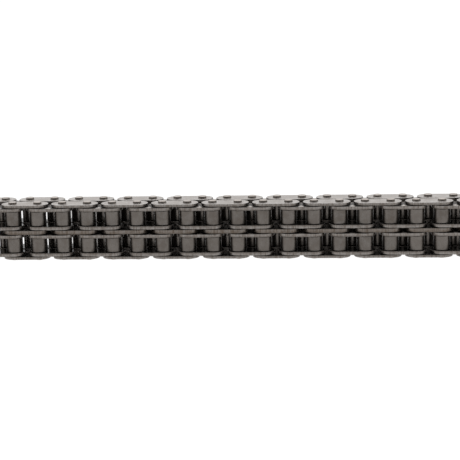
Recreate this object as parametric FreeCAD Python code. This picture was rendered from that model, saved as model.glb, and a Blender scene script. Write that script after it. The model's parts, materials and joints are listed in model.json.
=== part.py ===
import FreeCAD, Part

import math
import os

# Duplex (two-strand) straight-plate roller chain of 9.525 mm pitch, size 06B-2, as an open
# length of 41 links folded once on itself.  It lies on its side, on the lower pin ends, so
# every pin stands along Z.  Two straight runs go along X, the front one at low Y.
# Origin: centre of the bounding box in X and Y, on the plane that the pin ends rest on.

# ---- chain dimensions, mm ----
PITCH = 9.525  # pin to pin along the chain
STRAND_PITCH = 10.24  # middle of one strand to middle of the other
ROLLER_DIAMETER = 6.35
INNER_WIDTH = 5.72  # between the two inner plates of a strand
BUSH_LENGTH = 8.53
OUTER_SPAN = 8.66  # room for one strand, from an outer plate to the intermediate plate
PIN_DIAMETER = 3.28
PIN_LENGTH = 22.5
PLATE_HEIGHT = 8.26
OUTER_PLATE = 1.04  # plate thicknesses
INTERMEDIATE_PLATE = 1.56
INNER_PLATE = 1.35
BUSH_BORE = 3.34
BUSH_DIAMETER = 4.75
ROLLER_BORE = 4.87
ROLLER_SIDE_PLAY = 0.12  # each side, roller to inner plate

PLATE_EDGE = 0.13  # chamfers
PIN_EDGE = 0.24
ROLLER_EDGE = 0.22

# ---- how the chain lies ----
FRONT_LINKS = 19  # links in the front run; the fold follows
REAR_LINKS = 20
RUN_SPACING = 0.95 * PITCH  # between the pin rows of the two runs
REAR_SHIFT = -0.483 * PITCH  # rear pins against front pins, along X
LINK_DROP = 0.05  # the inner links settle on the pins by most of their play
ROLLER_DROP = 0.08  # and the rollers settle on the bushes
FREE_ROLLER_STATIONS = 19  # stations, from the front end, whose rollers are nodes of their own

UP = FreeCAD.Vector(0, 0, 1)
MIDDLE_Z = PIN_LENGTH / 2
# Middle heights of the two strands of the inner links, lower one first.
STRAND_Z = (MIDDLE_Z - LINK_DROP - STRAND_PITCH / 2, MIDDLE_Z - LINK_DROP + STRAND_PITCH / 2)


# ---- where the pins stand ----
def fold_point(front, rear):
    """The pin at the tip of the fold, one pitch from the last pin of each run, on the +X side."""
    span = rear - front
    half = span.Length / 2
    reach = math.sqrt(PITCH**2 - half**2)
    outward = FreeCAD.Vector(span.y, -span.x, 0).normalize()
    return front + span * 0.5 + outward * reach


def station_points():
    """Every pin axis in order along the chain: front run, fold, then the rear run back."""
    front = [FreeCAD.Vector(i * PITCH, 0, 0) for i in range(FRONT_LINKS + 1)]
    rear_start = (FRONT_LINKS * PITCH) + REAR_SHIFT
    rear = [FreeCAD.Vector(rear_start - i * PITCH, RUN_SPACING, 0) for i in range(REAR_LINKS + 1)]
    points = front + [fold_point(front[-1], rear[0])] + rear
    low_x = min(p.x for p in points)
    high_x = max(p.x for p in points)
    centre = FreeCAD.Vector((low_x + high_x) / 2, RUN_SPACING / 2, 0)
    return [p - centre for p in points]


# ---- single pieces, each built round its own pin axis or along +X from it ----
def cylinder(radius, bottom, top):
    return Part.makeCylinder(radius, top - bottom, FreeCAD.Vector(0, 0, bottom), UP)


def plate(hole_diameter, bottom, thickness):
    """A straight-sided link plate with round ends, from the pin at X = 0 to the one at X = PITCH."""
    half = PLATE_HEIGHT / 2
    corners = [(0, -half), (PITCH, -half), (PITCH, half), (0, half)]
    low_left, low_right, high_right, high_left = [FreeCAD.Vector(x, y, bottom) for x, y in corners]
    right_tip = FreeCAD.Vector(PITCH + half, 0, bottom)
    left_tip = FreeCAD.Vector(-half, 0, bottom)
    outline = Part.Wire(
        [
            Part.LineSegment(low_left, low_right).toShape(),
            Part.Arc(low_right, right_tip, high_right).toShape(),
            Part.LineSegment(high_right, high_left).toShape(),
            Part.Arc(high_left, left_tip, low_left).toShape(),
        ]
    )
    blank = Part.Face(outline).extrude(UP * thickness)
    rim = [e for e in blank.Edges if e.BoundBox.ZLength < PLATE_EDGE]
    blank = blank.makeChamfer(PLATE_EDGE, rim)
    for x in (0, PITCH):
        drill = Part.makeCylinder(hole_diameter / 2, thickness, FreeCAD.Vector(x, 0, bottom), UP)
        blank = blank.cut(drill)
    return blank


def pin():
    body = cylinder(PIN_DIAMETER / 2, 0, PIN_LENGTH)
    rims = [e for e in body.Edges if e.BoundBox.ZLength < PIN_EDGE]
    return body.makeChamfer(PIN_EDGE, rims)


def bush(strand_z):
    bottom = strand_z - BUSH_LENGTH / 2
    top = strand_z + BUSH_LENGTH / 2
    return cylinder(BUSH_DIAMETER / 2, bottom, top).cut(cylinder(BUSH_BORE / 2, bottom, top))


def roller(strand_z):
    half = INNER_WIDTH / 2 - ROLLER_SIDE_PLAY
    bottom = strand_z - ROLLER_DROP - half
    top = strand_z - ROLLER_DROP + half
    body = cylinder(ROLLER_DIAMETER / 2, bottom, top)
    rims = [e for e in body.Edges if e.BoundBox.ZLength < ROLLER_EDGE]
    body = body.makeChamfer(ROLLER_EDGE, rims)
    return body.cut(cylinder(ROLLER_BORE / 2, bottom, top))


def moved_to_second_pin(piece):
    return piece.translated(FreeCAD.Vector(PITCH, 0, 0))


# ---- links, lying along +X with the first pin at the origin ----
def outer_link():
    """Two outer plates and the shared intermediate plate, held by two pins through both strands."""
    outer_face = STRAND_PITCH / 2 + OUTER_SPAN / 2
    return [
        plate(PIN_DIAMETER, MIDDLE_Z + outer_face, OUTER_PLATE),
        plate(PIN_DIAMETER, MIDDLE_Z - INTERMEDIATE_PLATE / 2, INTERMEDIATE_PLATE),
        plate(PIN_DIAMETER, MIDDLE_Z - outer_face - OUTER_PLATE, OUTER_PLATE),
        pin(),
        moved_to_second_pin(pin()),
    ]


def inner_link():
    """For each strand, two inner plates pressed on two bushes."""
    pieces = []
    for strand_z in STRAND_Z:
        pieces.append(plate(BUSH_DIAMETER, strand_z + INNER_WIDTH / 2, INNER_PLATE))
        pieces.append(plate(BUSH_DIAMETER, strand_z - INNER_WIDTH / 2 - INNER_PLATE, INNER_PLATE))
        pieces.append(bush(strand_z))
        pieces.append(moved_to_second_pin(bush(strand_z)))
    return pieces


def roller_pair():
    """The upper and the lower strand's roller of one pin."""
    return [roller(strand_z) for strand_z in STRAND_Z]


# ---- the chain ----
def laid(pieces, start, end):
    """Turn and move pieces built along +X so that they run from one pin axis to the next."""
    heading = math.degrees(math.atan2(end.y - start.y, end.x - start.x))
    turn = FreeCAD.Rotation(UP, heading)
    place = FreeCAD.Placement(start, turn)
    return [piece.transformed(place.toMatrix()) for piece in pieces]


def chain_nodes():
    """Node name to the list of its separate solids."""
    points = station_points()
    outer, inner, rollers = outer_link(), inner_link(), roller_pair()
    nodes = {}
    for i, (start, end) in enumerate(zip(points, points[1:])):
        number = f"{i // 2 + 1:02d}"
        if i % 2:
            nodes[f"outer_link_{number}"] = laid(outer, start, end)
            continue
        pieces = laid(inner, start, end)
        for station in (i, i + 1):
            seated = laid(rollers, points[station], points[station] + end - start)
            if station < FREE_ROLLER_STATIONS:
                nodes[f"rollers_{station + 1:02d}"] = seated
            else:
                pieces += seated
        nodes[f"inner_link_{number}"] = pieces
    return nodes


def main():
    os.makedirs("parts", exist_ok=True)
    for name, pieces in chain_nodes().items():
        Part.makeCompound(pieces).exportStep(f"parts/{name}.step")


main()
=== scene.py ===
import json
import math

import bmesh
import bpy
from mathutils import Matrix, Vector

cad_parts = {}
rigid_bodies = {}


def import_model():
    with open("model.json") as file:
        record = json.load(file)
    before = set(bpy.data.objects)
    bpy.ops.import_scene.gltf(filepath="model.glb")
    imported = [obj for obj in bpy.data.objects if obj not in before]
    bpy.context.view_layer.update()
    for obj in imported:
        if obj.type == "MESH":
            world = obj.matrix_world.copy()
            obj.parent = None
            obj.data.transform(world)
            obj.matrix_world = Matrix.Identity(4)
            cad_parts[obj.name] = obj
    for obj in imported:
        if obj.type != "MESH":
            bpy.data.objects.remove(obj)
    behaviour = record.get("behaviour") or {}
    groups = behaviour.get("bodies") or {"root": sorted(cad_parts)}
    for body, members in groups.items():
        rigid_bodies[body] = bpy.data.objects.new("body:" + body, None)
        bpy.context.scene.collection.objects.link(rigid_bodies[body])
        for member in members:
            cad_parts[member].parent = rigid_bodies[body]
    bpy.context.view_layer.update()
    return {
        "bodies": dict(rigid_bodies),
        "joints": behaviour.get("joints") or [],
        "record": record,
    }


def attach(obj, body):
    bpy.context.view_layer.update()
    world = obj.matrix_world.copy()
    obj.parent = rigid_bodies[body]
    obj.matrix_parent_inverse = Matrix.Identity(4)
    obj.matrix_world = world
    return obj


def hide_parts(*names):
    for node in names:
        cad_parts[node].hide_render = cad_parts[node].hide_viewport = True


# A two-strand straight-plate roller chain, folded once and lying on its pin ends.  Every plate,
# pin, bush and roller of the frame is rebuilt here with its real edges, riveted heads and steel.

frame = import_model()

MM = 0.001

# ---- chain dimensions, mm, the same as the frame's ----
PITCH = 9.525
STRAND_PITCH = 10.24
ROLLER_RADIUS = 6.35 / 2
ROLLER_BORE = 4.87 / 2
INNER_WIDTH = 5.72
ROLLER_SIDE_PLAY = 0.12  # each side, roller to inner plate
ROLLER_HALF = INNER_WIDTH / 2 - ROLLER_SIDE_PLAY
BUSH_LENGTH = 8.53
BUSH_RADIUS = 4.75 / 2
BUSH_BORE = 3.34 / 2
OUTER_FACE = 9.45  # inner face of an outer plate, from the middle of the chain
PIN_RADIUS = 3.28 / 2
PIN_LENGTH = 22.5
PLATE_HALF = 8.26 / 2
OUTER_PLATE = 1.04  # plate thicknesses
MIDDLE_PLATE = 1.56
INNER_PLATE = 1.35
LINK_DROP = 0.05  # the inner links lie this much low on the pins
ROLLER_DROP = 0.08  # and the rollers this much low in the inner links
MIDDLE_Z = PIN_LENGTH / 2
STRANDS = (MIDDLE_Z - LINK_DROP - STRAND_PITCH / 2, MIDDLE_Z - LINK_DROP + STRAND_PITCH / 2)

# ---- edge shapes, mm ----
OUTER_ROUNDS = (0.12, 0.12)  # a plate's outward corner, and its corner towards the strand
MIDDLE_ROUNDS = (0.16, 0.16)
INNER_ROUNDS = (0.22, 0.16)
ROLLER_ROUND = 0.18
ROLLER_BORE_ROUND = 0.12
BUSH_ROUND = 0.12
BUSH_BORE_ROUND = 0.08
BUSH_SEAM = 0.05  # slit of a curled bush
HOLE_EDGE = 0.07
HOLE_EDGE_BEND = HOLE_EDGE * 0.3  # middle point of a hole's rounded edge
LAND = 0.05  # flat strip that holds a rounding's shading in place
PRESS = 0.004  # how far a pressed-in piece overlaps its hole
HEAD_RADIUS = 1.57  # riveted pin end
HEAD_ROUND = 0.30
DISH_RADIUS = 1.18
DISH_DEPTH = 0.035
NECK_START = 0.66  # where the head widens to the pin, from the pin's end
NECK_END = 0.80

# ---- facets ----
ARC_STEPS = 4  # a rounded edge
DISH_STEPS = 4  # a pin end's dish, from its middle to its rim
END_STEPS = 26  # round end of a plate, half a turn
FLANK_STEPS = 6  # a quarter of the straight sides
WAIST_STEPS = 10  # across the middle of a plate
ROUND_STEPS = 64  # a full turn
WELD = 1e-5  # mm, points nearer than this are one


# ================================================================ mesh building
def quarter(radius, towards_side):
    """Points (inset, depth) of a quarter-round edge, from the flat to the side or the other way."""
    points = []
    for i in range(ARC_STEPS + 1):
        angle = math.pi / 2 * i / ARC_STEPS
        points.append((radius * (1 - math.sin(angle)), radius * (1 - math.cos(angle))))
    return points if towards_side else points[::-1]


def plate_edge_profile(thickness, rounds):
    """(inset, z) all the way round a plate's rim, from its top face to its bottom face."""
    top_round, bottom_round = rounds
    top = [(inset, thickness - depth) for inset, depth in quarter(top_round, True)]
    return (
        [(top_round + LAND, thickness)]
        + top
        + [(0, thickness - top_round - LAND), (0, bottom_round + LAND)]
        + quarter(bottom_round, False)
        + [(bottom_round + LAND, 0)]
    )


def hole_edge_profile(thickness):
    """(growth, z) down the wall of a plate's hole, from its top face to its bottom face."""
    return [
        (HOLE_EDGE + LAND, thickness),
        (HOLE_EDGE, thickness),
        (HOLE_EDGE_BEND, thickness - HOLE_EDGE_BEND),
        (0, thickness - HOLE_EDGE),
        (0, HOLE_EDGE),
        (HOLE_EDGE_BEND, HOLE_EDGE_BEND),
        (HOLE_EDGE, 0),
        (HOLE_EDGE + LAND, 0),
    ]


def half_outline():
    """The rim round the first pin, as (x on the plate's centre line, unit normal), and the waist.

    The waist is the line across the plate's middle, as (x, y) points between its two ends.
    """
    corner = math.atan2(PLATE_HALF, PITCH / 2)
    flank = []
    for i in range(FLANK_STEPS):
        angle = corner + (math.pi / 2 - corner) * i / FLANK_STEPS
        flank.append(PLATE_HALF / math.tan(angle))
    round_end = []
    for i in range(END_STEPS + 1):
        angle = math.pi / 2 + math.pi * i / END_STEPS
        round_end.append((0.0, (math.cos(angle), math.sin(angle))))
    rim = [(x, (0.0, 1.0)) for x in flank] + round_end + [(x, (0.0, -1.0)) for x in reversed(flank)]
    waist = []
    for i in range(1, WAIST_STEPS):
        angle = -corner + 2 * corner * i / WAIST_STEPS
        waist.append((PITCH / 2, PITCH / 2 * math.tan(angle)))
    return rim, waist


class Solid:
    """Loose faces of one closed solid, in mm, welded together when it is done."""

    def __init__(self):
        self.verts = []
        self.faces = []

    def strip(self, ring_a, ring_b, closed=True):
        """Quads between two rings of as many points."""
        count = len(ring_a)
        start = len(self.verts)
        self.verts += ring_a + ring_b
        for i in range(count if closed else count - 1):
            j = (i + 1) % count
            self.faces.append((start + i, start + j, start + count + j, start + count + i))

    def skin(self, rings, closed=True):
        """Strips from each ring to the next."""
        for ring_a, ring_b in zip(rings, rings[1:]):
            self.strip(ring_a, ring_b, closed)

    def cap(self, ring):
        """One flat face with the ring's points as its corners."""
        start = len(self.verts)
        self.verts += ring
        self.faces.append(tuple(range(start, start + len(ring))))

    def welded(self):
        """The solid as welded vertices and outward faces."""
        mesh = bmesh.new()
        made = [mesh.verts.new(v) for v in self.verts]
        for face in self.faces:
            mesh.faces.new([made[i] for i in face])
        bmesh.ops.remove_doubles(mesh, verts=mesh.verts[:], dist=WELD)
        bmesh.ops.recalc_face_normals(mesh, faces=mesh.faces[:])
        mesh.verts.index_update()
        verts = [v.co.copy() for v in mesh.verts]
        faces = [tuple(v.index for v in f.verts) for f in mesh.faces]
        mesh.free()
        return verts, faces


def first_half(x):
    """Where a point of the outline lies along the plate, in the half round the first pin."""
    return x


def second_half(x):
    """Where its mirror image lies, in the half round the second pin."""
    return PITCH - x


def rim_ring(rim, side, inset, z):
    """The outline of one half of a plate, moved in by the inset."""
    reach = PLATE_HALF - inset
    return [(side(x + n[0] * reach), n[1] * reach, z) for x, n in rim]


def hole_ring(spokes, side, radius, z):
    """A circle round the pin, with one point in the direction of each spoke."""
    ring = []
    for x, y in spokes:
        scale = radius / math.hypot(x, y)
        ring.append((side(x * scale), y * scale, z))
    return ring


def link_plate(hole_radius, thickness, rounds):
    """A link plate from the pin at X = 0 to the pin at X = PITCH, standing on Z = 0."""
    rim, waist = half_outline()
    spokes = [(x + n[0] * PLATE_HALF, n[1] * PLATE_HALF) for x, n in rim] + waist
    edge = plate_edge_profile(thickness, rounds)
    hole = hole_edge_profile(thickness)
    solid = Solid()
    for side in (first_half, second_half):
        solid.skin([rim_ring(rim, side, inset, z) for inset, z in edge], closed=False)
        solid.skin([hole_ring(spokes, side, hole_radius + growth, z) for growth, z in hole])
        # The top and the bottom face, from the outline to the hole.
        for (inset, z), (growth, _) in ((edge[0], hole[0]), (edge[-1], hole[-1])):
            squeeze = (PLATE_HALF - inset) / PLATE_HALF
            outline = rim_ring(rim, side, inset, z) + [(side(x), y * squeeze, z) for x, y in waist]
            solid.strip(outline, hole_ring(spokes, side, hole_radius + growth, z))
    return solid.welded()


def lathe(profile, closed_profile, gap=0.0):
    """Turns (radius, z) points round the Z axis.

    A closed profile is joined back to its first point.  A gap leaves a slit of that width, in mm.
    """
    solid = Solid()
    half_gap = gap / 2 / max(r for r, _ in profile)
    turn = 2 * math.pi - 2 * half_gap
    count = ROUND_STEPS + 1 if gap else ROUND_STEPS
    angles = [half_gap + turn * i / ROUND_STEPS for i in range(count)]
    rings = [[(r * math.cos(a), r * math.sin(a), z) for a in angles] for r, z in profile]
    if closed_profile:
        rings.append(rings[0])
    solid.skin(rings, closed=not gap)
    if gap:
        solid.cap([ring[0] for ring in rings[:-1]])
        solid.cap([ring[-1] for ring in rings[:-1]])
    return solid.welded()


def riveted_pin():
    """A pin with both ends riveted: a faint dish, a rounded rim and a slightly slimmer neck."""
    dish = []
    for i in range(DISH_STEPS + 1):
        out = i / DISH_STEPS
        dish.append((DISH_RADIUS * out, DISH_DEPTH * (1 - out**2)))
    rim = [(HEAD_RADIUS - inset, depth) for inset, depth in quarter(HEAD_ROUND, True)]
    head = dish + rim + [(HEAD_RADIUS, NECK_START), (PIN_RADIUS, NECK_END)]
    top = [(r, PIN_LENGTH - z) for r, z in reversed(head)]
    return lathe(head + top, closed_profile=False)


def tube_profile(outer, bore, half, outer_round, bore_round):
    """(radius, z) round the wall of a tube that is centred on Z = 0, with rounded edges."""
    upper = (
        [(bore, half - bore_round - LAND)]
        + [(bore + inset, half - depth) for inset, depth in quarter(bore_round, False)]
        + [(bore + bore_round + LAND, half), (outer - outer_round - LAND, half)]
        + [(outer - inset, half - depth) for inset, depth in quarter(outer_round, True)]
        + [(outer, half - outer_round - LAND)]
    )
    return upper + [(r, -z) for r, z in reversed(upper)]


def curled_bush():
    profile = tube_profile(BUSH_RADIUS + PRESS, BUSH_BORE, BUSH_LENGTH / 2, BUSH_ROUND, BUSH_BORE_ROUND)
    return lathe(profile, closed_profile=True, gap=BUSH_SEAM)


def roller_ring():
    profile = tube_profile(ROLLER_RADIUS, ROLLER_BORE, ROLLER_HALF, ROLLER_ROUND, ROLLER_BORE_ROUND)
    return lathe(profile, closed_profile=True)


def lies_at(face, verts, levels):
    """True for a face that is flat at one of the heights."""
    return any(all(abs(verts[i].z - level) < WELD for i in face) for level in levels)


def piece(name, solids, material, shade_film=None, shade_film_levels=(0,)):
    """One object made of several closed solids, each (mesh data, matrix in mm).

    A solid's flats at the film levels, heights in its own mm, get the film material, a dark film of
    painted shade.  Three numbers go with each point, for the materials: "across", its height as a share
    of the solid's top, "radial", its distance in mm from the nearest pin axis, and "waist", its distance
    in mm along the link from the link's middle.
    """
    verts, faces, shade_film_faces = [], [], []
    across, radial, waist = [], [], []
    for (solid_verts, solid_faces), matrix in solids:
        start = len(verts)
        top = max(v.z for v in solid_verts)
        shade_film_faces += [shade_film is not None and lies_at(face, solid_verts, shade_film_levels) for face in solid_faces]
        verts += [(matrix @ v) * MM for v in solid_verts]
        faces += [tuple(start + i for i in face) for face in solid_faces]
        across += [v.z / top for v in solid_verts]
        radial += [min(math.hypot(v.x, v.y), math.hypot(v.x - PITCH, v.y)) for v in solid_verts]
        waist += [abs(v.x - PITCH / 2) for v in solid_verts]
    mesh = bpy.data.meshes.new(name)
    mesh.from_pydata(verts, [], faces)
    mesh.polygons.foreach_set("use_smooth", [True] * len(faces))
    for label, values in (("across", across), ("radial", radial), ("waist", waist)):
        mesh.attributes.new(label, "FLOAT", "POINT").data.foreach_set("value", values)
    mesh.materials.append(material)
    if shade_film is not None:
        mesh.materials.append(shade_film)
        mesh.polygons.foreach_set("material_index", [int(f) for f in shade_film_faces])
    mesh.update()
    made = bpy.data.objects.new(name, mesh)
    bpy.context.scene.collection.objects.link(made)
    return made


# ================================================================ materials
RING_SPACING = 0.11  # mm, turning rings on a pin's end
PAINTED_SHADE_GREY = 0.02  # painted shade on a plate's outward side
SHADE_FILM_GREY = 0.008  # the dark film between the plates, painted shade
BLUE_SHARE = 0.8  # part of a grey's warmth that is taken off its blue
GRAIN_RELIEF = 0.000004  # depths of surface relief, in metres
STREAK_RELIEF = 0.000022
SHADE_FILM_RELIEF = 0.000003

# Where a plate's zones lie: each fades in from the first number to the second.
UPPER_SIDE = (0.5, 0.8)  # shares of the thickness
TORN_SIDE = (0.50, 0.34)
TORN_RAGGED = 0.14  # how far the torn side's border wanders
DULL_MIDDLE = (4.2, 1.6)  # mm along the link from its middle
OFF_MIDDLE = (0.6, 1.3)
NEAR_PIN = (5.3, 4.75)  # mm from a pin axis


class Graph:
    """Short helpers for one material's nodes."""

    def __init__(self, name):
        self.material = bpy.data.materials.new(name)
        self.material.use_nodes = True
        self.tree = self.material.node_tree
        self.tree.nodes.clear()
        self.shader = self.node("ShaderNodeBsdfPrincipled")
        output = self.node("ShaderNodeOutputMaterial")
        self.link(self.shader.outputs["BSDF"], output.inputs["Surface"])
        self.coords = self.node("ShaderNodeTexCoord")

    def node(self, kind, **settings):
        made = self.tree.nodes.new(kind)
        for key, value in settings.items():
            setattr(made, key, value)
        return made

    def link(self, output, target):
        self.tree.links.new(output, target)

    def feed(self, target, value):
        """Link a socket, or set a plain value."""
        if isinstance(value, bpy.types.NodeSocket):
            self.link(value, target)
        else:
            target.default_value = value

    def math(self, operation, a, b=0.0):
        made = self.node("ShaderNodeMath", operation=operation)
        self.feed(made.inputs[0], a)
        self.feed(made.inputs[1], b)
        return made.outputs[0]

    def noise(self, scale, detail=3.0, roughness=0.55, stretch=(1, 1, 1), turn=0.0):
        """Noise with spots of about 1/scale metres, stretched and turned about Z."""
        mapping = self.node("ShaderNodeMapping")
        mapping.inputs["Scale"].default_value = stretch
        mapping.inputs["Rotation"].default_value = (0, 0, turn)
        self.link(self.coords.outputs["Object"], mapping.inputs["Vector"])
        made = self.node("ShaderNodeTexNoise")
        made.inputs["Scale"].default_value = scale
        made.inputs["Detail"].default_value = detail
        made.inputs["Roughness"].default_value = roughness
        self.link(mapping.outputs["Vector"], made.inputs["Vector"])
        return made.outputs["Fac"]

    def ramp(self, value, low, high, out_low=0.0, out_high=1.0):
        """A smooth step from out_low, where the value is low, to out_high, where it is high."""
        made = self.node("ShaderNodeMapRange", clamp=True, interpolation_type="SMOOTHSTEP")
        self.feed(made.inputs["Value"], value)
        sockets = ("From Min", "From Max", "To Min", "To Max")
        for socket, number in zip(sockets, (low, high, out_low, out_high)):
            made.inputs[socket].default_value = number
        return made.outputs["Result"]

    def mix(self, factor, a, b):
        """Colour a where the factor is 0, and colour b where it is 1."""
        made = self.node("ShaderNodeMix", data_type="RGBA")
        colours = [s for s in made.inputs if s.type == "RGBA"]
        self.feed(made.inputs[0], factor)
        self.feed(colours[0], a)
        self.feed(colours[1], b)
        return next(s for s in made.outputs if s.type == "RGBA")

    def mix_values(self, factor, a, b):
        """Number a where the factor is 0, and number b where it is 1."""
        made = self.node("ShaderNodeMix", data_type="FLOAT")
        self.feed(made.inputs[0], factor)
        self.feed(made.inputs[2], a)
        self.feed(made.inputs[3], b)
        return made.outputs[0]

    def attribute(self, label):
        """One of the numbers that piece() writes at each point."""
        return self.node("ShaderNodeAttribute", attribute_name=label).outputs["Fac"]

    def flatness(self):
        """1 where the surface faces straight up or down, 0 on a cut edge or a round wall."""
        split = self.node("ShaderNodeSeparateXYZ")
        self.link(self.coords.outputs["Normal"], split.inputs[0])
        return self.math("ABSOLUTE", split.outputs["Z"])

    def bump(self, height, distance, below=None):
        """Relief of that depth in metres, on top of the relief below."""
        made = self.node("ShaderNodeBump")
        made.inputs["Strength"].default_value = 1.0
        made.inputs["Distance"].default_value = distance
        self.feed(made.inputs["Height"], height)
        if below is not None:
            self.link(below, made.inputs["Normal"])
        return made.outputs["Normal"]

    def set_shader(self, **values):
        """Link or set shader sockets, named as the sockets are but with _ for a space."""
        for socket, value in values.items():
            self.feed(self.shader.inputs[socket.replace("_", " ")], value)


def grey(value, warmth=0.0):
    """A grey in linear light, warmer by that share."""
    return (value * (1 + warmth), value, value * (1 - warmth * BLUE_SHARE), 1.0)


def tumbled_flat(g, outward, mottle, waist):
    """Colour and relief of a plate's flat: mottled, dull in the middle, dented and scratched."""
    patch = g.noise(130, detail=2.0, roughness=0.5)
    grain = g.noise(5200, detail=2.0, roughness=0.5)
    dents = g.ramp(g.noise(1700, detail=2.0, roughness=0.5), 0.62, 0.74)
    scratch_a = g.noise(1500, detail=2.0, roughness=0.5, stretch=(0.05, 1, 1), turn=0.5)
    scratch_b = g.noise(1500, detail=2.0, roughness=0.5, stretch=(0.05, 1, 1), turn=-0.9)
    scratch = g.math("MAXIMUM", g.ramp(scratch_a, 0.64, 0.72), g.ramp(scratch_b, 0.65, 0.73))

    colour = g.mix(g.ramp(mottle, 0.35, 0.68), grey(outward * 0.55, 0.16), grey(outward * 1.25, 0.03))
    middle = g.ramp(waist, *DULL_MIDDLE, 0.15, 0.62)
    dull = g.math("MULTIPLY", g.ramp(patch, 0.30, 0.60, 0.25), middle)
    colour = g.mix(dull, colour, grey(outward * 0.62, 0.12))
    colour = g.mix(g.ramp(grain, 0.3, 0.7, 0.0, 0.3), colour, grey(outward * 0.7, 0.06))
    colour = g.mix(g.math("MULTIPLY", scratch, 0.45), colour, grey(outward * 1.5))

    pits = g.math("ADD", g.math("MULTIPLY", dents, -0.8), g.math("MULTIPLY", scratch, -0.4))
    return colour, g.bump(g.math("ADD", grain, pits), GRAIN_RELIEF)


def punched_edge(g, edge, warmth, streak, torn):
    """Colour of a cut edge: upright streaks of the punch, torn and browner inward."""
    band = g.noise(700, detail=2.0, roughness=0.5)
    dark, light = grey(edge * 0.66, warmth), grey(edge * 1.32, warmth * 0.6)
    colour = g.mix(g.ramp(streak, 0.34, 0.66), dark, light)
    colour = g.mix(g.ramp(band, 0.42, 0.66, 0.0, 0.5), colour, grey(edge * 1.45, warmth * 0.3))
    return g.mix(g.math("MULTIPLY", torn, 0.3), colour, grey(edge * 0.6, warmth * 1.4))


def plate_steel(name, outward, edge, warmth, wear_and_highlight=0.0, painted_shade=0.0):
    """Blanked and tumbled plate steel, with the given greys on its outward flat and its cut edge.

    Wear rubs the outward corner bright, with a painted highlight on it, and painted shade darkens the
    outward side near the joints.
    """
    g = Graph(name)
    across = g.attribute("across")
    waist = g.attribute("waist")
    tilt = g.flatness()
    flat = g.ramp(tilt, 0.55, 0.97)
    upper = g.ramp(across, *UPPER_SIDE)
    mottle = g.noise(950, detail=5.0, roughness=0.62)
    streak = g.noise(2600, detail=3.0, roughness=0.6, stretch=(1, 1, 0.06))
    ragged = g.math("ADD", across, g.ramp(streak, 0.3, 0.7, -TORN_RAGGED, TORN_RAGGED))
    torn = g.ramp(ragged, *TORN_SIDE)
    face_colour, face_relief = tumbled_flat(g, outward, mottle, waist)
    colour = g.mix(flat, punched_edge(g, edge, warmth, streak, torn), face_colour)

    # The outward corner is rubbed bright here and there: wear, with a painted highlight.
    worn_and_highlight = g.math("MULTIPLY", g.ramp(tilt, 0.12, 0.5), g.ramp(tilt, 0.98, 0.7))
    worn_and_highlight = g.math("MULTIPLY", worn_and_highlight, g.ramp(g.noise(1100), 0.35, 0.62, 0.1, 0.75))
    worn_and_highlight = g.math("MULTIPLY", worn_and_highlight, g.math("MULTIPLY", upper, wear_and_highlight))
    colour = g.mix(worn_and_highlight, colour, grey(max(outward, edge) * 1.35, 0.01))

    # Painted shade darkens the outward side near the joints, where the outer plates cover it, all but a
    # spot at each end of the line across the middle.
    near_pin = g.ramp(g.attribute("radial"), *NEAR_PIN)
    joint = g.math("MAXIMUM", near_pin, g.ramp(waist, *OFF_MIDDLE))
    painted_shade_mask = g.math("MULTIPLY", g.ramp(tilt, 0.1, 0.4), g.math("MULTIPLY", joint, painted_shade))
    colour = g.mix(g.math("MULTIPLY", painted_shade_mask, upper), colour, grey(PAINTED_SHADE_GREY, 0.1))

    edge_rough = g.math("ADD", g.ramp(streak, 0.3, 0.7, 0.24, 0.42), g.math("MULTIPLY", torn, 0.14))
    rough = g.mix_values(flat, edge_rough, g.ramp(mottle, 0.3, 0.7, 0.30, 0.46))
    upright = g.math("MULTIPLY", streak, g.math("SUBTRACT", 1.0, flat))
    normal = g.bump(upright, STREAK_RELIEF, face_relief)
    g.set_shader(Base_Color=colour, Roughness=rough, Normal=normal, Metallic=1.0)
    return g.material


def painted_shade_film(name, body):
    """A dark, glossy film on the flats that face into the strands: painted shade for the chain's shaded
    inside.
    """
    g = Graph(name)
    mottle = g.noise(900, detail=4.0, roughness=0.6)
    smear = g.noise(260, stretch=(0.4, 1, 1))
    colour = g.mix(g.ramp(mottle, 0.35, 0.68), grey(body * 0.7, 0.10), grey(body * 1.4, 0.05))
    colour = g.mix(g.ramp(smear, 0.4, 0.65, 0.0, 0.5), colour, grey(body * 2.2, 0.08))
    rough = g.ramp(smear, 0.3, 0.7, 0.22, 0.12)
    g.set_shader(Base_Color=colour, Roughness=rough, Normal=g.bump(mottle, SHADE_FILM_RELIEF))
    g.set_shader(Specular_IOR_Level=0.25)
    return g.material


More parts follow.
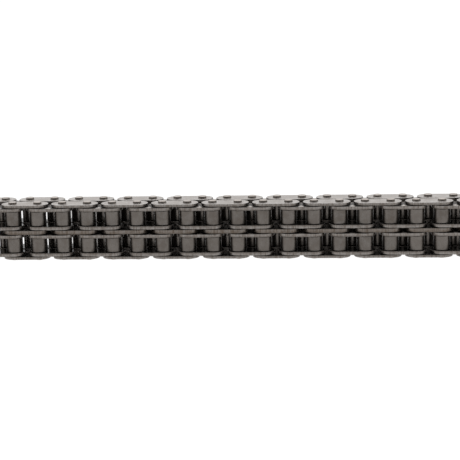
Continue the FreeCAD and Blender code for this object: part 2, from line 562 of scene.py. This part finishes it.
def turned_steel(name, body, warmth, roughness, end_gain):
    """Ground round pieces: fine lengthwise streaks, and ends with turning rings and their own grey."""
    g = Graph(name)
    streak = g.noise(1900, roughness=0.6, stretch=(1, 1, 0.03))
    cloud = g.noise(480)
    speckle = g.noise(1500, detail=4.0, roughness=0.62)
    patch = g.noise(110, detail=2.0, roughness=0.5)
    end = g.ramp(g.flatness(), 0.2, 0.7)
    colour = g.mix(g.ramp(streak, 0.3, 0.7), grey(body * 0.88, warmth), grey(body * 1.12, warmth * 0.7))
    colour = g.mix(g.ramp(cloud, 0.40, 0.62, 0.0, 0.6), colour, grey(body * 0.72, warmth * 1.5))
    colour = g.mix(g.ramp(speckle, 0.40, 0.66, 0.0, 0.5), colour, grey(body * 0.70, warmth * 1.2))
    colour = g.mix(g.ramp(patch, 0.35, 0.65, 0.0, 0.5), colour, grey(body * 1.2, warmth * 0.9))
    end_body = body * end_gain
    end_dark, end_light = grey(end_body * 0.85, warmth), grey(end_body * 1.15, warmth * 0.6)
    colour = g.mix(end, colour, g.mix(g.ramp(cloud, 0.3, 0.7), end_dark, end_light))
    rough = g.ramp(g.math("ADD", streak, cloud), 0.7, 1.3, *roughness)
    rough = g.math("ADD", rough, g.math("MULTIPLY", end, 0.08))
    ring = g.math("SINE", g.math("MULTIPLY", g.attribute("radial"), 2 * math.pi / RING_SPACING))
    rings = g.math("MULTIPLY", g.math("MULTIPLY", ring, end), 0.12)
    normal = g.bump(g.math("ADD", streak, rings), GRAIN_RELIEF)
    g.set_shader(Base_Color=colour, Roughness=rough, Normal=normal, Metallic=1.0)
    return g.material


# ================================================================ the chain
def station_points():
    """Every pin axis in order, in mm: an open end, the hinges, and the other open end."""
    record = frame["record"]
    ends = {m["name"]: m["pos_m"] for m in record["mounts"]}
    hinges = {j["name"]: j["pos_m"] for j in frame["joints"]}
    hinge_names = sorted(name for name in hinges if name.startswith("pin_hinge_"))
    points = [ends["front_end_bushes"]] + [hinges[n] for n in hinge_names] + [ends["rear_end_bushes"]]
    return [Vector((p[0], p[1], 0)) / MM for p in points]


def laid(start, end):
    """Turns and moves a piece built along +X so that it runs from one pin to the next."""
    heading = math.atan2(end.y - start.y, end.x - start.x)
    return Matrix.Translation(start) @ Matrix.Rotation(heading, 4, "Z")


def raised(z):
    """Moves a piece up by z mm."""
    return Matrix.Translation((0, 0, z))


UPSIDE_DOWN = Matrix.Rotation(math.pi, 4, "X")
SECOND_PIN = Matrix.Translation((PITCH, 0, 0))  # from a link's first pin to its second


def fitted(made, body, node):
    """Gives a piece its body, in the place of the node's CAD, which it hides."""
    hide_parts(node)
    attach(made, body)


def outer_link(node, place, solids, steel):
    """Two outer plates, the middle plate between the strands, and the link's two pins."""
    covers = [
        (solids["outer_plate"], place @ raised(MIDDLE_Z + OUTER_FACE)),
        (solids["outer_plate"], place @ raised(MIDDLE_Z - OUTER_FACE) @ UPSIDE_DOWN),
    ]
    middle = [(solids["middle_plate"], place @ raised(MIDDLE_Z - MIDDLE_PLATE / 2))]
    pins = [(solids["pin"], place), (solids["pin"], place @ SECOND_PIN)]
    both_sides = (0, MIDDLE_PLATE)
    cover_piece = piece(node + "_outer_plates", covers, steel["plate"], steel["shade_film"])
    middle_piece = piece(node + "_middle_plate", middle, steel["middle"], steel["shade_film"], both_sides)
    fitted(cover_piece, node, node)
    fitted(middle_piece, node, node)
    fitted(piece(node + "_pins", pins, steel["pin"]), node, node)


def inner_link(node, place, held_rollers, solids, steel):
    """For each strand, two inner plates and two bushes, with the rollers that have no own body."""
    plates, bushes = [], []
    for z in STRANDS:
        plates.append((solids["inner_plate"], place @ raised(z + INNER_WIDTH / 2)))
        plates.append((solids["inner_plate"], place @ raised(z - INNER_WIDTH / 2) @ UPSIDE_DOWN))
        bushes.append((solids["bush"], place @ raised(z)))
        bushes.append((solids["bush"], place @ SECOND_PIN @ raised(z)))
    plate_piece = piece(node + "_plates", plates, steel["inner"], steel["shade_film"])
    fitted(plate_piece, node, node)
    fitted(piece(node + "_bushes", bushes, steel["bush"]), node, node)
    if held_rollers:
        fitted(piece(node + "_rollers", held_rollers, steel["roller"]), node, node)


def roller_pair(point, solids):
    """The upper and the lower strand's roller of one pin."""
    place = Matrix.Translation(point)
    return [(solids["roller"], place @ raised(z - ROLLER_DROP)) for z in STRANDS]


def build_chain(steel):
    """Every link in order along the chain: inner and outer ones in turn, an inner one first."""
    solids = {
        "outer_plate": link_plate(PIN_RADIUS - PRESS, OUTER_PLATE, OUTER_ROUNDS),
        "middle_plate": link_plate(PIN_RADIUS - PRESS, MIDDLE_PLATE, MIDDLE_ROUNDS),
        "inner_plate": link_plate(BUSH_RADIUS - PRESS, INNER_PLATE, INNER_ROUNDS),
        "pin": riveted_pin(),
        "bush": curled_bush(),
        "roller": roller_ring(),
    }
    points = station_points()
    for i, (start, end) in enumerate(zip(points, points[1:])):
        place = laid(start, end)
        number = f"{i // 2 + 1:02d}"
        if i % 2:
            outer_link(f"outer_link_{number}", place, solids, steel)
            continue
        held_rollers = []
        for station in (i, i + 1):
            pair = roller_pair(points[station], solids)
            body = f"rollers_{station + 1:02d}"
            if body in frame["bodies"]:
                fitted(piece(body + "_pair", pair, steel["roller"]), body, body)
            else:
                held_rollers += pair
        inner_link(f"inner_link_{number}", place, held_rollers, solids, steel)


# ================================================================ the stage
FLOOR_SIZE = 6.0  # metres
FLOOR_DROP = 0.00002  # keeps the floor just clear of the pin ends
WHITE = (1, 1, 1, 1)

# White surroundings, dimmer on the front side: Y of a direction from and to, brightness from and to.
ROOM_SHADE = (-0.85, -0.15, 0.45, 1.0)

SOFTBOX_PLACE = Vector((0.0, 0.25, 0.7))  # metres, and it faces the origin
SOFTBOX_WIDTH = 0.8
SOFTBOX_DEPTH = 0.5
SOFTBOX_WATTS = 1.0


def build_floor():
    """A plain white floor that stays white in its shadows."""
    bpy.ops.mesh.primitive_plane_add(size=FLOOR_SIZE, location=(0, 0, -FLOOR_DROP))
    floor = bpy.context.object
    floor.name = "floor"
    g = Graph("floor_white")
    g.set_shader(Base_Color=grey(0.1), Roughness=1.0, Specular_IOR_Level=0.0)
    g.set_shader(Emission_Color=WHITE, Emission_Strength=1.0)
    floor.data.materials.append(g.material)


def build_room():
    world = bpy.data.worlds.new("studio")
    world.use_nodes = True
    tree = world.node_tree
    background = tree.nodes["Background"]
    direction = tree.nodes.new("ShaderNodeTexCoord")
    split = tree.nodes.new("ShaderNodeSeparateXYZ")
    shade = tree.nodes.new("ShaderNodeMapRange")
    shade.interpolation_type = "SMOOTHSTEP"
    for socket, number in zip(("From Min", "From Max", "To Min", "To Max"), ROOM_SHADE):
        shade.inputs[socket].default_value = number
    tree.links.new(direction.outputs["Generated"], split.inputs[0])
    tree.links.new(split.outputs["Y"], shade.inputs["Value"])
    tree.links.new(shade.outputs["Result"], background.inputs["Strength"])
    background.inputs["Color"].default_value = WHITE
    bpy.context.scene.world = world


def build_light():
    lamp = bpy.data.lights.new("softbox", "AREA")
    lamp.shape = "RECTANGLE"
    lamp.size = SOFTBOX_WIDTH
    lamp.size_y = SOFTBOX_DEPTH
    lamp.energy = SOFTBOX_WATTS
    holder = bpy.data.objects.new("softbox", lamp)
    holder.location = SOFTBOX_PLACE
    holder.rotation_euler = (-SOFTBOX_PLACE).to_track_quat("-Z", "Y").to_euler()
    bpy.context.scene.collection.objects.link(holder)
    bpy.context.scene.view_settings.view_transform = "Standard"


# Where the camera stands, seen from its target on the chain.
CAMERA_AZIMUTH = 4.06  # degrees to the right of square on
CAMERA_ELEVATION = 12.06
CAMERA_ROLL = -1.25
CAMERA_DISTANCE = 57.1 * PITCH
CAMERA_LENS = 111.75  # mm
CAMERA_SENSOR = 36
CAMERA_NEAR = 0.01  # metres
CAMERA_FAR = 20
AIM = (8.635, 0.5, -0.139)  # in pitches: from the front run's second pin, and from mid height


def build_camera():
    second_pin = station_points()[1]
    aim = Vector((second_pin.x, second_pin.y, MIDDLE_Z)) + Vector(AIM) * PITCH
    azimuth, elevation = math.radians(CAMERA_AZIMUTH), math.radians(CAMERA_ELEVATION)
    level = math.cos(elevation)
    back = Vector((math.sin(azimuth) * level, -math.cos(azimuth) * level, math.sin(elevation)))
    lens = bpy.data.cameras.new("camera")
    lens.sensor_width = CAMERA_SENSOR
    lens.lens = CAMERA_LENS
    lens.clip_start = CAMERA_NEAR
    lens.clip_end = CAMERA_FAR
    camera = bpy.data.objects.new("camera", lens)
    turn = back.to_track_quat("Z", "Y").to_matrix().to_4x4()
    roll = Matrix.Rotation(math.radians(CAMERA_ROLL), 4, "Z")
    camera.matrix_world = Matrix.Translation((aim + back * CAMERA_DISTANCE) * MM) @ turn @ roll
    bpy.context.scene.collection.objects.link(camera)
    bpy.context.scene.camera = camera


def main():
    steel = {
        # worn outward corners of the outer and middle plates carry a painted highlight
        "plate": plate_steel("outer_plate_steel", outward=0.475, edge=0.172, warmth=0.15, wear_and_highlight=1.0),
        "middle": plate_steel("middle_plate_steel", outward=0.05, edge=0.131, warmth=0.24, wear_and_highlight=0.3),
        # the inner plates' outward sides get painted shade near the joints
        "inner": plate_steel("inner_plate_steel", outward=0.60, edge=0.185, warmth=0.15, painted_shade=0.88),
        # the dark film paints shade on the flats inside the strands
        "shade_film": painted_shade_film("painted_shade_film", body=SHADE_FILM_GREY),
        "pin": turned_steel("pin_steel", 0.105, warmth=0.14, roughness=(0.20, 0.30), end_gain=3.8),
        "bush": turned_steel("bush_steel", 0.20, warmth=0.06, roughness=(0.22, 0.36), end_gain=1.3),
        "roller": turned_steel("roller_steel", 0.124, warmth=0.12, roughness=(0.26, 0.34), end_gain=1.0),
    }
    build_camera()
    build_chain(steel)
    build_floor()
    build_room()
    build_light()


main()
